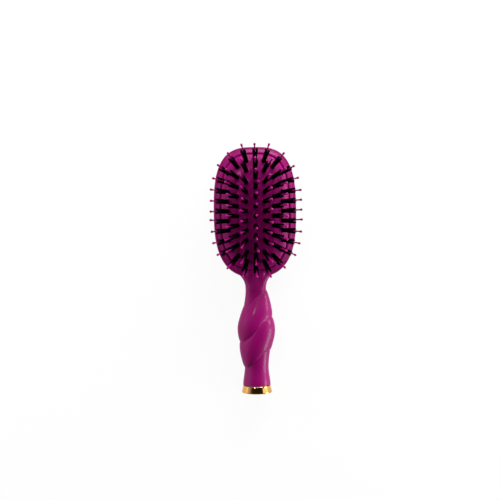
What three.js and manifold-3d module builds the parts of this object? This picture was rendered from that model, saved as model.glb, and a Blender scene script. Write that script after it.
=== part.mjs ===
// A cushion hairbrush with boar bristle tufts and ball-tipped nylon pins, lying on its back.
// Millimetres. X runs across the head, +Y towards the tip of the head, +Z out along the bristles.
// The origin lies under the middle of the cushion, on the flat back that the brush rests on.
import * as THREE from "three";
import { mergeVertices } from "three/addons/utils/BufferGeometryUtils.js";
import Module from "manifold-3d";

// Head outline: an oval, squarer at its tip than at its heel
const HEAD_HALF_WIDTH = 37.4;
const HEAD_TIP_REACH = 58.4;
const HEAD_HEEL_REACH = 59.5;
const TIP_SQUARENESS = 3.0;
const HEEL_SQUARENESS = 2.65;

// Head shell: a shallow tray with a flat back, a rounded side and a thin lip
const BACK_THICKNESS = 3;
const BACK_ROUND_WIDTH = 9;
const WIDEST_HEIGHT = 9.5;
const LIP_HEIGHT = 12.5;
const LIP_WALL = 1.8;
const LIP_ROUND = 0.8;
const LEDGE_HEIGHT = 9;

// Cushion: a rubber dome with a flange, clamped under an oval frame
const FIT_GAP = 0.3;
const FRAME_BAND = 4.4;
const FRAME_EDGE_RISE = 0.2;
const FRAME_CREST_RISE = 1.9;
const FRAME_CREST_WIDTH = 1.2;
const FRAME_ROUND = 0.5;
const PAD_THICKNESS = 1.4;
const PAD_WALL = 0.9;
const SHOULDER_HEIGHT = 15.2;
const CROWN = 9;

// Tufts: a staggered field of columns, each half a step along from the next
const SIDE_COLUMNS = 3;
const LAST_ROW = 22;
const FIELD_SIDE_MARGIN = 6.3;
const FIELD_TIP_MARGIN = 4.6;
const FIELD_HEEL_MARGIN = 5.7;
const END_SPREAD = 1;
const SPREAD_FROM_SHARE = 0.68;
const COLUMN_DRAW_IN = 0.06;
const EDGE_LEAN = THREE.MathUtils.degToRad(48);
const END_LEAN = THREE.MathUtils.degToRad(33);
const EVEN_LEAN_SHARE = 0.72;
const EDGE_LEAN_DROP = 0.47;
const SIDE_LEAN = THREE.MathUtils.degToRad(33);
const CORNER_UPRIGHT = 1.2;
const SOCKET_HALF_WIDTH = 1.5;
const SOCKET_HALF_LENGTH = 1.85;

// Nylon pins, joined row by row by a strip under the cushion
const PIN_LENGTH = 22;
const PIN_RADIUS = 0.55;
const BALL_RADIUS = 1.05;
const BALL_LENGTH = 3;
const STRIP_WIDTH = 0.9;
const STRIP_THICKNESS = 1;
const STRIP_OVERHANG = 1.2;
const LAYER_GAP = 0.45;

// Boar strands, fused in four groups to a backing under the strips
const TUFT_LENGTH = 15.5;
const STRAND_RADIUS = 0.45;
const STRAND_PLACES = [-0.85, 0, 0.85];
const STRAND_SIDE_OFFSET = 1.15;
const TUFT_FLARE = 1.3;
const BACKING_THICKNESS = 1;
const BACKING_EDGE_GAP = 0.6;
const BACKING_MARGIN = 2;
const BRISTLE_GROUPS = ["tip", "upper", "lower", "heel"];

// Gold end cap, pressed on a spigot. Its rim touches the table, so the handle's axis is one radius up.
const CAP_LENGTH = 6.8;
const CAP_RADIUS = 13.75;
const CAP_ROUND = 0.9;
const CAP_END_WALL = 1.5;
const SPIGOT_RADIUS = 9.3;
const SPIGOT_LENGTH = 5;
const AXIS_HEIGHT = CAP_RADIUS;

// Handle: stations along Y from the heel of the head to the gold cap
const HEEL_STATION = { y: -52, halfWidth: 9.5, halfThickness: 5.5, axisZ: 7.5, squareness: 3.2 };
const NECK_STATION = { y: -71, halfWidth: 9.3, halfThickness: 8, axisZ: 9.5, squareness: 2.4 };
const SWELL_STATION = { y: -107, halfWidth: 14.2, halfThickness: 10.9, axisZ: AXIS_HEIGHT, squareness: 2 };
const WAIST_STATION = { y: -140.6, halfWidth: 10.8, halfThickness: 10.6, axisZ: AXIS_HEIGHT, squareness: 2 };
const END_STATION = { y: -156.7, halfWidth: 12.4, halfThickness: 12.4, axisZ: AXIS_HEIGHT, squareness: 2 };
const FLARE_WIDTH = 12.6;
const FLARE_POWER = 2.6;

// Twist of the handle: a rounded band that winds round its core, with a crease between its turns
const BAND_PITCH = 27.3;
const BAND_START_Y = -71.5;
const BAND_TILT = 5.5;
const BAND_TILT_Y = -107.6;
const BAND_TILT_REACH = 15.5;
const BAND_STRAIGHTEN = 3;
const BAND_BULGE = 2.8;
const BAND_ROUNDNESS = 0.5;
const BAND_START_SOFTNESS = 0.6;
const BAND_FULL_TURNS = 1.5;
const BAND_FADE_TURNS = 0.5;

// Facets
const OUTLINE_SIDES = 40;
const SIDE_TURNS = [0, 20, 40, 60, 90].map(THREE.MathUtils.degToRad);
const HANDLE_SIDES = 24;
const HANDLE_STEP = 2.6;
const PIN_SIDES = 5;
const STRAND_SIDES = 3;
const CAP_SIDES = 24;
const STRIP_STEP = 6;
const BACKING_COLUMNS = 8;
const BACKING_ROWS = 4;

// Numeric work: points closer than this are one, and searches take this many steps
const MERGE_DISTANCE = 1e-4;
const SEARCH_STEPS = 40;
const SEARCH_PACE = 0.7;

const wasm = await Module();
wasm.setup();

// Closed solids from rings of points, and joins and cuts between them

function geometryOf(points, triangles) {
  const geometry = new THREE.BufferGeometry();
  geometry.setFromPoints(points);
  geometry.setIndex(triangles);
  return geometry;
}

// A closed skin through rings with equal counts. Each end is capped with a fan.
function skin(rings) {
  const sides = rings[0].length;
  const last = (rings.length - 1) * sides;
  const triangles = [];
  for (let ring = 0; ring < rings.length - 1; ring++) {
    for (let side = 0; side < sides; side++) {
      const next = (side + 1) % sides;
      const low = ring * sides;
      const high = low + sides;
      triangles.push(low + side, low + next, high + next);
      triangles.push(low + side, high + next, high + side);
    }
  }
  for (let side = 1; side < sides - 1; side++) {
    triangles.push(0, side + 1, side);
    triangles.push(last, last + side, last + side + 1);
  }
  return geometryOf(rings.flat(), triangles);
}

// A closed spike from a ring of points to a tip.
function spike(ring, tip) {
  const triangles = [];
  for (let side = 0; side < ring.length; side++) {
    triangles.push(side, (side + 1) % ring.length, ring.length);
  }
  for (let side = 1; side < ring.length - 1; side++) {
    triangles.push(0, side + 1, side);
  }
  return geometryOf([...ring, tip], triangles);
}

// A closed loop of equal sections, such as a ring with any outline.
function hoop(sections) {
  const corners = sections[0].length;
  const triangles = [];
  sections.forEach((_, at) => {
    const here = at * corners;
    const there = ((at + 1) % sections.length) * corners;
    for (let corner = 0; corner < corners; corner++) {
      const next = (corner + 1) % corners;
      triangles.push(here + corner, there + next, here + next);
      triangles.push(here + corner, there + corner, there + next);
    }
  });
  return geometryOf(sections.flat(), triangles);
}

function solidOf(geometry) {
  const bare = geometry.clone();
  bare.deleteAttribute("normal");
  bare.deleteAttribute("uv");
  const merged = mergeVertices(bare, MERGE_DISTANCE);
  const mesh = new wasm.Mesh({
    numProp: 3,
    vertProperties: merged.attributes.position.array,
    triVerts: new Uint32Array(merged.index.array),
  });
  return new wasm.Manifold(mesh);
}

function geometryFrom(solid) {
  const mesh = solid.getMesh();
  const geometry = new THREE.BufferGeometry();
  geometry.setAttribute("position", new THREE.BufferAttribute(mesh.vertProperties, mesh.numProp));
  geometry.setIndex(new THREE.BufferAttribute(mesh.triVerts, 1));
  return geometry;
}

function joined(geometries) {
  const solids = geometries.map(solidOf);
  return geometryFrom(solids.reduce((whole, piece) => whole.add(piece)));
}

function smooth(from, to, at) {
  return THREE.MathUtils.smoothstep(at, Math.min(from, to), Math.max(from, to));
}

// The oval of the head, drawn in by an inset

function squareness(angle) {
  return HEEL_SQUARENESS + ((TIP_SQUARENESS - HEEL_SQUARENESS) * (1 + Math.sin(angle))) / 2;
}

function ovalReach(y, inset) {
  return (y > 0 ? HEAD_TIP_REACH : HEAD_HEEL_REACH) - inset;
}

// Below 1 inside the oval, 1 on it and above 1 outside it.
function ovalShare(x, y, inset) {
  const power = squareness(Math.atan2(y, x));
  const across = Math.abs(x) / (HEAD_HALF_WIDTH - inset);
  const along = Math.abs(y) / ovalReach(y, inset);
  return across ** power + along ** power;
}

function ovalPoint(turn, inset) {
  const x = Math.cos(turn) * (HEAD_HALF_WIDTH - inset);
  const y = Math.sin(turn) * ovalReach(Math.sin(turn), inset);
  const scale = ovalShare(x, y, inset) ** (-1 / squareness(Math.atan2(y, x)));
  return new THREE.Vector2(x * scale, y * scale);
}

function ovalRing(inset, z) {
  return Array.from({ length: OUTLINE_SIDES }, (_, side) => {
    const at = ovalPoint((2 * Math.PI * side) / OUTLINE_SIDES, inset);
    return new THREE.Vector3(at.x, at.y, z);
  });
}

// Half the oval's width at one place along it.
function ovalHalfWidth(y, inset) {
  let low = 0;
  let high = HEAD_HALF_WIDTH - inset;
  for (let step = 0; step < SEARCH_STEPS; step++) {
    const middle = (low + high) / 2;
    if (ovalShare(middle, y, inset) < 1) low = middle;
    else high = middle;
  }
  return low;
}

// Places that the pieces of the head share

const FLANGE_INSET = LIP_WALL + FIT_GAP;
const SEAM_INSET = FLANGE_INSET + FRAME_BAND;
const PAD_INSET = SEAM_INSET + FIT_GAP;
const PAD_INNER_INSET = PAD_INSET + PAD_WALL;
const FLANGE_BOTTOM = LEDGE_HEIGHT + FIT_GAP;
const FLANGE_TOP = FLANGE_BOTTOM + PAD_THICKNESS;
const FRAME_BOTTOM = FLANGE_TOP + FIT_GAP;
const FRAME_EDGE = LIP_HEIGHT + FRAME_EDGE_RISE;
const FRAME_CREST = LIP_HEIGHT + FRAME_CREST_RISE;

// The tuft field, set in from the edge of the cushion
const COLUMN_PITCH = (HEAD_HALF_WIDTH - PAD_INSET - FIELD_SIDE_MARGIN) / SIDE_COLUMNS;
const FIELD_TIP_Y = HEAD_TIP_REACH - PAD_INSET - FIELD_TIP_MARGIN;
const FIELD_HEEL_Y = FIELD_HEEL_MARGIN + PAD_INSET - HEAD_HEEL_REACH;

// Layers under the top of the cushion, each as a drop straight down
const STRIP_DROP = PAD_THICKNESS + LAYER_GAP;
const BACKING_DROP = STRIP_DROP + STRIP_THICKNESS + LAYER_GAP;

function domeHeight(x, y) {
  return SHOULDER_HEIGHT + CROWN * (1 - ovalShare(x, y, PAD_INSET));
}

function onLayer(x, y, drop) {
  return new THREE.Vector3(x, y, domeHeight(x, y) - drop);
}

// Where a line meets a layer under the dome.
function meetLayer(start, direction, drop) {
  const at = start.clone();
  for (let step = 0; step < SEARCH_STEPS; step++) {
    const miss = at.z - (domeHeight(at.x, at.y) - drop);
    at.addScaledVector(direction, -SEARCH_PACE * miss);
  }
  return at;
}

// Tufts: each has a root on the dome, the way it leans and two directions across it

function tuftAt(column, row) {
  const evenY = THREE.MathUtils.lerp(FIELD_TIP_Y, FIELD_HEEL_Y, row / LAST_ROW);
  const endY = Math.abs(evenY > 0 ? FIELD_TIP_Y : FIELD_HEEL_Y);
  const side = Math.abs(column);
  const spreads = side > 0 && Math.abs(evenY) > SPREAD_FROM_SHARE * endY;
  const spread = spreads ? END_SPREAD * (SIDE_COLUMNS - side) : 0;
  const y = evenY + Math.sign(evenY) * spread;
  const alongShare = y / endY;
  const acrossShare = column / SIDE_COLUMNS;
  const x = column * COLUMN_PITCH * (1 - COLUMN_DRAW_IN * alongShare ** 2);
  const corner = CORNER_UPRIGHT * (acrossShare * alongShare) ** 4;
  const leanX = Math.sin(EDGE_LEAN) * acrossShare * (1 - corner);
  const evenShare = EVEN_LEAN_SHARE - EDGE_LEAN_DROP * acrossShare ** 2;
  const evenLean = Math.sin(END_LEAN) * (evenShare * alongShare + (1 - evenShare) * alongShare ** 3);
  const sideLean = Math.sin(SIDE_LEAN) * Math.abs(acrossShare) * (1 - acrossShare ** 2) * alongShare ** 3;
  const leanY = evenLean + sideLean;
  const up = new THREE.Vector3(leanX, leanY, Math.sqrt(1 - leanX ** 2 - leanY ** 2));
  const across = new THREE.Vector3(1, 0, 0).addScaledVector(up, -up.x).normalize();
  const along = new THREE.Vector3().crossVectors(up, across);
  return { root: onLayer(x, y, 0), up, across, along };
}

function besideTuft(tuft, across, along) {
  return tuft.root.clone().addScaledVector(tuft.across, across).addScaledVector(tuft.along, along);
}

// The four corners of a tuft's socket where it crosses one face of the cushion.
function socketCorners(tuft, drop) {
  const corners = [
    [1, 1],
    [-1, 1],
    [-1, -1],
    [1, -1],
  ];
  return corners.map(([across, along]) => {
    const start = besideTuft(tuft, across * SOCKET_HALF_WIDTH, along * SOCKET_HALF_LENGTH);
    return meetLayer(start, tuft.up, drop);
  });
}

// Even rows stand on the even columns and odd rows on the odd ones.
function tuftRow(row) {
  const room = Math.min(SIDE_COLUMNS, row, LAST_ROW - row);
  const widest = room - ((row - room) % 2);
  const tufts = [];
  for (let column = -widest; column <= widest; column += 2) {
    tufts.push(tuftAt(column, row));
  }
  return tufts;
}

const tuftRows = Array.from({ length: LAST_ROW + 1 }, (_, row) => tuftRow(row));

// Triangles of the plane that join points with no point inside any triangle's circle.
function planeTriangles(points) {
  const far = 1e4;
  const nudge = 1e-5;
  const all = points.map((p, at) => [p.x + nudge * Math.sin(7 * at), p.y + nudge * Math.cos(11 * at)]);
  all.push([-far, -far], [far, -far], [0, far]);
  const count = points.length;
  let triangles = [[count, count + 1, count + 2]];
  const holds = ([a, b, c], [px, py]) => {
    const rows = [a, b, c].map((at) => [all[at][0] - px, all[at][1] - py]);
    const squares = rows.map(([x, y]) => x * x + y * y);
    const cross = (i, j) => rows[i][0] * rows[j][1] - rows[j][0] * rows[i][1];
    return squares[0] * cross(1, 2) - squares[1] * cross(0, 2) + squares[2] * cross(0, 1) > 0;
  };
  for (let at = 0; at < count; at++) {
    const opened = triangles.filter((triangle) => holds(triangle, all[at]));
    const edges = opened.flatMap(([a, b, c]) => [
      [a, b],
      [b, c],
      [c, a],
    ]);
    const known = new Set(edges.map((edge) => edge.join()));
    const border = edges.filter(([a, b]) => !known.has([b, a].join()));
    triangles = triangles.filter((triangle) => !opened.includes(triangle));
    triangles.push(...border.map(([a, b]) => [a, b, at]));
  }
  return triangles.filter((triangle) => triangle.every((at) => at < count));
}

// Head shell, neck and twisted handle in one moulding

const STATIONS = [HEEL_STATION, NECK_STATION, SWELL_STATION, WAIST_STATION, END_STATION];

function handleAt(y) {
  const found = STATIONS.findIndex((station) => station.y <= y);
  const next = STATIONS[Math.max(found, 1)];
  const before = STATIONS[Math.max(found, 1) - 1];
  const share = 1 - smooth(next.y, before.y, y);
  const between = (key) => THREE.MathUtils.lerp(before[key], next[key], share);
  const flare = Math.max(0, (y - NECK_STATION.y) / (HEEL_STATION.y - NECK_STATION.y));
  return {
    halfWidth: between("halfWidth") + FLARE_WIDTH * flare ** FLARE_POWER,
    halfThickness: between("halfThickness"),
    axisZ: between("axisZ"),
    squareness: between("squareness"),
  };
}

// How far the band stands out from the core at one place. Turns are counted along the band.
function bandRise(angle, y) {
  const turn = angle / (2 * Math.PI);
  const tiltShare = Math.exp(-(((y - BAND_TILT_Y) / BAND_TILT_REACH) ** 4));
  const tilt = BAND_TILT * tiltShare * Math.cos(angle);
  const straighten = BAND_STRAIGHTEN * Math.sin(2 * angle);
  const creaseY = BAND_START_Y - BAND_PITCH * turn + tilt + straighten;
  const crossed = (creaseY - y) / BAND_PITCH;
  const turnsBefore = Math.floor(crossed);
  const along = turn + turnsBefore;
  const fadeIn = smooth(-BAND_FADE_TURNS, 0, along);
  const fadeOut = 1 - smooth(BAND_FULL_TURNS, BAND_FULL_TURNS + BAND_FADE_TURNS, along);
  const starts = turnsBefore === 0 && crossed < 0.5;
  const softness = starts ? BAND_START_SOFTNESS * Math.sin(angle / 2) ** 2 : 0;
  const arch = Math.abs(Math.sin(Math.PI * crossed)) ** (BAND_ROUNDNESS + softness);
  return BAND_BULGE * fadeIn * fadeOut * arch;
}

function handleRing(y) {
  const { halfWidth, halfThickness, axisZ, squareness: power } = handleAt(y);
  return Array.from({ length: HANDLE_SIDES }, (_, side) => {
    const angle = (2 * Math.PI * side) / HANDLE_SIDES;
    const across = Math.abs(Math.cos(angle)) / halfWidth;
    const up = Math.abs(Math.sin(angle)) / halfThickness;
    const core = (across ** power + up ** power) ** (-1 / power);
    const radius = core + bandRise(angle, y);
    return new THREE.Vector3(radius * Math.cos(angle), y, axisZ + radius * Math.sin(angle));
  });
}

function handleSkin() {
  const length = HEEL_STATION.y - END_STATION.y;
  const steps = Math.ceil(length / HANDLE_STEP);
  const rings = [];
  for (let step = 0; step <= steps; step++) {
    rings.push(handleRing(HEEL_STATION.y - (length * step) / steps));
  }
  return skin(rings);
}

// The rounded side of the head, from the flat back up to its widest height, then in to the lip.
function headSkin() {
  const rings = SIDE_TURNS.map((turn) =>
    ovalRing(BACK_ROUND_WIDTH * (1 - Math.sin(turn)), WIDEST_HEIGHT * (1 - Math.cos(turn))),
  );
  rings.push(ovalRing(LIP_ROUND / 4, LIP_HEIGHT - LIP_ROUND));
  rings.push(ovalRing(LIP_ROUND, LIP_HEIGHT));
  return skin(rings);
}

function ovalBlock(inset, low, high) {
  return skin([ovalRing(inset, low), ovalRing(inset, high)]);
}

function spigot() {
  const geometry = new THREE.CylinderGeometry(SPIGOT_RADIUS, SPIGOT_RADIUS, 2 * SPIGOT_LENGTH, CAP_SIDES);
  return geometry.translate(0, END_STATION.y, END_STATION.axisZ);
}

function handleBody() {
  const top = LIP_HEIGHT + NECK_STATION.axisZ + NECK_STATION.halfThickness;
  const whole = solidOf(joined([headSkin(), handleSkin(), spigot()]));
  const seat = solidOf(ovalBlock(LIP_WALL, LEDGE_HEIGHT, top));
  const chamber = solidOf(ovalBlock(PAD_INNER_INSET, BACK_THICKNESS, top));
  return geometryFrom(whole.subtract(seat).subtract(chamber));
}

// The oval frame, whose band rises from the lip to a crest beside the cushion.
function cushionFrame() {
  const section = [
    [FLANGE_INSET, FRAME_BOTTOM],
    [FLANGE_INSET, FRAME_EDGE],
    [(FLANGE_INSET + SEAM_INSET - FRAME_CREST_WIDTH) / 2, (FRAME_EDGE + 2 * FRAME_CREST) / 3],
    [SEAM_INSET - FRAME_CREST_WIDTH, FRAME_CREST],
    [SEAM_INSET - FRAME_ROUND, FRAME_CREST],
    [SEAM_INSET, FRAME_CREST - FRAME_ROUND],
    [SEAM_INSET, FRAME_BOTTOM],
  ];
  const rings = section.map(([inset, z]) => ovalRing(inset, z));
  return hoop(rings[0].map((_, side) => rings.map((ring) => ring[side])));
}

// The rubber cushion: two domed faces with a socket through them for each tuft, a wall and a flange.
function cushionPad() {
  const points = [];
  const triangles = [];
  const tufts = tuftRows.flat();

  const addFace = (inset, drop, facesUp) => {
    const border = ovalRing(inset, 0).map((at) => onLayer(at.x, at.y, drop));
    const sockets = tufts.map((tuft) => socketCorners(tuft, drop));
    const first = points.length;
    const face = [...border, ...sockets.flat()];
    const ofSocket = (at) => (at < border.length ? -1 : Math.floor((at - border.length) / 4));
    for (const [a, b, c] of planeTriangles(face)) {
      const socket = ofSocket(a);
      const inSocket = socket >= 0 && socket === ofSocket(b) && socket === ofSocket(c);
      if (inSocket) continue;
      const [p, q] = facesUp ? [b, c] : [c, b];
      triangles.push(first + a, first + p, first + q);
    }
    points.push(...face);
    return { border: first, sockets: first + border.length };
  };

  const addBand = (low, high, count) => {
    for (let side = 0; side < count; side++) {
      const next = (side + 1) % count;
      triangles.push(low + side, low + next, high + next);
      triangles.push(low + side, high + next, high + side);
    }
  };

  const addRing = (inset, z) => {
    points.push(...ovalRing(inset, z));
    return points.length - OUTLINE_SIDES;
  };

  const top = addFace(PAD_INSET, 0, true);
  const bottom = addFace(PAD_INNER_INSET, PAD_THICKNESS, false);
  const edge = [
    bottom.border,
    addRing(PAD_INNER_INSET, FLANGE_BOTTOM),
    addRing(FLANGE_INSET, FLANGE_BOTTOM),
    addRing(FLANGE_INSET, FLANGE_TOP),
    addRing(PAD_INSET, FLANGE_TOP),
    top.border,
  ];
  edge.slice(1).forEach((ring, at) => addBand(edge[at], ring, OUTLINE_SIDES));
  tufts.forEach((_, at) => addBand(top.sockets + 4 * at, bottom.sockets + 4 * at, 4));
  return geometryOf(points, triangles);
}

// One row of pins on the strip that joins them.
function pinRow(tufts) {
  const depth = STRIP_DROP + STRIP_THICKNESS / 2;
  const feet = tufts.map((tuft) => meetLayer(tuft.root, tuft.up, depth));
  const pins = tufts.map((tuft, at) => pin(tuft, feet[at].distanceTo(tuft.root)));
  return joined([strip(feet), ...pins]);
}

function pin(tuft, depth) {
  const profile = [
    [0, -depth],
    [PIN_RADIUS, -depth],
    [PIN_RADIUS, PIN_LENGTH - BALL_LENGTH],
    [BALL_RADIUS, PIN_LENGTH - BALL_RADIUS],
    [BALL_RADIUS / 2, PIN_LENGTH],
    [0, PIN_LENGTH],
  ].map(([radius, height]) => new THREE.Vector2(radius, height));
  const geometry = new THREE.LatheGeometry(profile, PIN_SIDES);
  const upright = new THREE.Vector3(0, 1, 0);
  geometry.applyQuaternion(new THREE.Quaternion().setFromUnitVectors(upright, tuft.up));
  return geometry.translate(...tuft.root);
}

function strip(feet) {
  const first = feet[0].clone();
  const last = feet[feet.length - 1].clone();
  first.x -= STRIP_OVERHANG;
  last.x += STRIP_OVERHANG;
  const stops = [first, ...feet, last];
  const rings = [];
  stops.forEach((stop, at) => {
    const next = stops[at + 1];
    const steps = next ? Math.ceil((next.x - stop.x) / STRIP_STEP) : 1;
    for (let step = 0; step < steps; step++) {
      const centre = next ? stop.clone().lerp(next, step / steps) : stop;
      rings.push(stripRing(centre.x, centre.y));
    }
  });
  return skin(rings);
}

function stripRing(x, y) {
  const corners = [
    [-1, 0],
    [-1, STRIP_THICKNESS],
    [1, STRIP_THICKNESS],
    [1, 0],
  ];
  return corners.map(([side, depth]) => onLayer(x, y + (side * STRIP_WIDTH) / 2, STRIP_DROP + depth));
}

// Where a row's tufts reach the backing.
function rowDepthY(row) {
  const tuft = tuftAt(row % 2, row);
  return meetLayer(tuft.root, tuft.up, BACKING_DROP).y;
}

// The backing is cut midway between the rows of two groups, and ends just past the first and last row.
function groupEdge(row) {
  if (row === 0) return rowDepthY(0) + BACKING_MARGIN;
  if (row > LAST_ROW) return rowDepthY(LAST_ROW) - BACKING_MARGIN;
  return (rowDepthY(row - 1) + rowDepthY(row)) / 2;
}

// One group of tufts: three strands on each side of every pin, fused to a backing.
function bristleGroup(firstRow, endRow) {
  const rows = tuftRows.slice(firstRow, endRow);
  const farY = groupEdge(firstRow) - FIT_GAP / 2;
  const nearY = groupEdge(endRow) + FIT_GAP / 2;
  const strands = rows.flat().flatMap((tuft) =>
    [-1, 1].flatMap((side) =>
      STRAND_PLACES.map((across) => strand(tuft, across, side * STRAND_SIDE_OFFSET)),
    ),
  );
  return joined([backing(farY, nearY), ...strands]);
}

function strand(tuft, across, along) {
  const depth = BACKING_DROP + BACKING_THICKNESS / 2;
  const foot = meetLayer(besideTuft(tuft, across, along), tuft.up, depth);
  const tip = besideTuft(tuft, TUFT_FLARE * across, TUFT_FLARE * along);
  tip.addScaledVector(tuft.up, TUFT_LENGTH);
  const ring = Array.from({ length: STRAND_SIDES }, (_, side) => {
    const turn = (2 * Math.PI * side) / STRAND_SIDES + (Math.sign(along) * Math.PI) / 2;
    const point = foot.clone();
    point.addScaledVector(tuft.across, STRAND_RADIUS * Math.cos(turn));
    return point.addScaledVector(tuft.along, STRAND_RADIUS * Math.sin(turn));
  });
  return spike(ring, tip);
}

// A thin curved sheet that follows the dome between two places along it.
function backing(farY, nearY) {
  const inset = PAD_INNER_INSET + BACKING_EDGE_GAP;
  const rings = Array.from({ length: BACKING_ROWS + 1 }, (_, row) => {
    const y = THREE.MathUtils.lerp(farY, nearY, row / BACKING_ROWS);
    const halfWidth = ovalHalfWidth(y, inset);
    const shares = Array.from({ length: BACKING_COLUMNS + 1 }, (_, at) => (2 * at) / BACKING_COLUMNS - 1);
    const xs = shares.map((share) => halfWidth * share);
    const top = xs.map((x) => onLayer(x, y, BACKING_DROP));
    const bottom = xs.map((x) => onLayer(x, y, BACKING_DROP + BACKING_THICKNESS));
    return { top, bottom };
  });
  return sheetSkin(rings);
}

// A closed sheet through rows of top and bottom points.
function sheetSkin(rows) {
  const across = rows[0].top.length;
  const lastColumn = across - 1;
  const lastRow = rows.length - 1;
  const points = rows.flatMap(({ top, bottom }) => [...top, ...bottom]);
  const top = (row, column) => row * 2 * across + column;
  const bottom = (row, column) => top(row, column) + across;
  const triangles = [];
  const quad = (a, b, c, d) => triangles.push(a, b, c, a, c, d);
  for (let row = 0; row < lastRow; row++) {
    const next = row + 1;
    for (let column = 0; column < lastColumn; column++) {
      quad(top(row, column), top(next, column), top(next, column + 1), top(row, column + 1));
      quad(bottom(row, column), bottom(row, column + 1), bottom(next, column + 1), bottom(next, column));
    }
    quad(top(row, 0), bottom(row, 0), bottom(next, 0), top(next, 0));
    quad(top(row, lastColumn), top(next, lastColumn), bottom(next, lastColumn), bottom(row, lastColumn));
  }
  for (let column = 0; column < lastColumn; column++) {
    const next = column + 1;
    quad(top(0, column), top(0, next), bottom(0, next), bottom(0, column));
    quad(top(lastRow, column), bottom(lastRow, column), bottom(lastRow, next), top(lastRow, next));
  }
  return geometryOf(points, triangles);
}

// The gold cap: a shallow cup, wider at its closed end, over the spigot.
function endCap() {
  const socketRadius = SPIGOT_RADIUS + FIT_GAP;
  const mouth = FIT_GAP;
  const profile = [
    [0, CAP_LENGTH - CAP_END_WALL],
    [socketRadius, CAP_LENGTH - CAP_END_WALL],
    [socketRadius, mouth],
    [END_STATION.halfWidth, mouth],
    [CAP_RADIUS, CAP_LENGTH - CAP_ROUND],
    [CAP_RADIUS - CAP_ROUND / 3, CAP_LENGTH - CAP_ROUND / 3],
    [CAP_RADIUS - CAP_ROUND, CAP_LENGTH],
    [0, CAP_LENGTH],
  ].map(([radius, height]) => new THREE.Vector2(radius, height));
  const geometry = new THREE.LatheGeometry(profile, CAP_SIDES);
  geometry.rotateX(Math.PI);
  return geometry.translate(0, END_STATION.y, END_STATION.axisZ);
}

// The brush

const magentaPlastic = new THREE.MeshStandardMaterial({ color: 0x7e0357, roughness: 0.38 });
const magentaRubber = new THREE.MeshStandardMaterial({ color: 0x6a0448, roughness: 0.45 });
const magentaNylon = new THREE.MeshStandardMaterial({ color: 0x8e1a66, roughness: 0.4 });
const boarBristle = new THREE.MeshStandardMaterial({ color: 0x0a0809, roughness: 0.6 });
const polishedGold = new THREE.MeshStandardMaterial({ color: 0xdfa755, roughness: 0.18, metalness: 1 });

const brush = new THREE.Group();

function place(name, geometry, material) {
  const mesh = new THREE.Mesh(geometry, material);
  mesh.name = name;
  brush.add(mesh);
}

place("handle_body", handleBody(), magentaPlastic);
place("cushion_frame", cushionFrame(), magentaPlastic);
place("cushion_pad", cushionPad(), magentaRubber);
place("end_cap", endCap(), polishedGold);

tuftRows.forEach((tufts, row) => {
  place(`pin_row_${String(row + 1).padStart(2, "0")}`, pinRow(tufts), magentaNylon);
});

BRISTLE_GROUPS.forEach((name, group) => {
  const share = tuftRows.length / BRISTLE_GROUPS.length;
  const first = Math.round(group * share);
  const end = Math.round((group + 1) * share);
  place(`bristles_${name}`, bristleGroup(first, end), boarBristle);
});

export default brush;
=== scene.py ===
import math
import random

import bpy
import numpy as np
from mathutils import Matrix, Vector
from mathutils.bvhtree import BVHTree


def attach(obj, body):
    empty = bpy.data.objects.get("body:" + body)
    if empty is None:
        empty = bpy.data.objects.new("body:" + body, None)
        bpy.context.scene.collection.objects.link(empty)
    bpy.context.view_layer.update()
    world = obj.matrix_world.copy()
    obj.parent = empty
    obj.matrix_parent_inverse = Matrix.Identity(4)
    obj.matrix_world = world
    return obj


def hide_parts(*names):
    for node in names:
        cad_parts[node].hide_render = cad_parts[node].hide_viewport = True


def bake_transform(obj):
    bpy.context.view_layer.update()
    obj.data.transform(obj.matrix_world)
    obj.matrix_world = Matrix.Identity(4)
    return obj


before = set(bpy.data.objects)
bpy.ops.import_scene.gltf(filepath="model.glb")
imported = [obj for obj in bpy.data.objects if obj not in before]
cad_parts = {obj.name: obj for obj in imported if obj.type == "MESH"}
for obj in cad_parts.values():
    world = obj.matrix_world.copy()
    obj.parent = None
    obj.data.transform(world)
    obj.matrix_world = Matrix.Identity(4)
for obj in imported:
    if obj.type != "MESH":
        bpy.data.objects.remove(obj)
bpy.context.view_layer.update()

MM = 0.001

# Head outline and shell
HEAD_HALF_WIDTH = 37.4
HEAD_TIP_REACH = 58.4
HEAD_HEEL_REACH = 59.5
TIP_SQUARENESS = 3.0
HEEL_SQUARENESS = 2.65
BACK_THICKNESS = 3.0
BACK_ROUND_WIDTH = 9.0
WIDEST_HEIGHT = 9.5
LIP_HEIGHT = 12.5
LIP_WALL = 1.8
LEDGE_HEIGHT = 9.0
CHAMBER_INSET = 7.7

# Cushion and its frame
PAD_INSET = 6.8
PAD_EDGE_INSET = 6.75
FRAME_OUTER_INSET = 1.88
FRAME_INNER_INSET = 6.45
FRAME_BOTTOM = 11.0
SHOULDER_HEIGHT = 15.2
CROWN = 9.0
PAD_SEAM_HEIGHT = 13.9
SEAM_GAP = 0.05

# Tuft field
SIDE_COLUMNS = 3
LAST_ROW = 22
COLUMN_PITCH = 8.1
FIELD_END_Y = 47.0
END_SPREAD = 1.0
SPREAD_FROM_SHARE = 0.68
COLUMN_DRAW_IN = 0.06
EDGE_LEAN = math.radians(48)
END_LEAN = math.radians(33)
EVEN_LEAN_SHARE = 0.72
EDGE_LEAN_DROP = 0.47
SIDE_LEAN = math.radians(33)
CORNER_UPRIGHT = 1.2
GROUP_ROWS = {"tip": (0, 6), "upper": (6, 12), "lower": (12, 17), "heel": (17, 23)}

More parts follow.
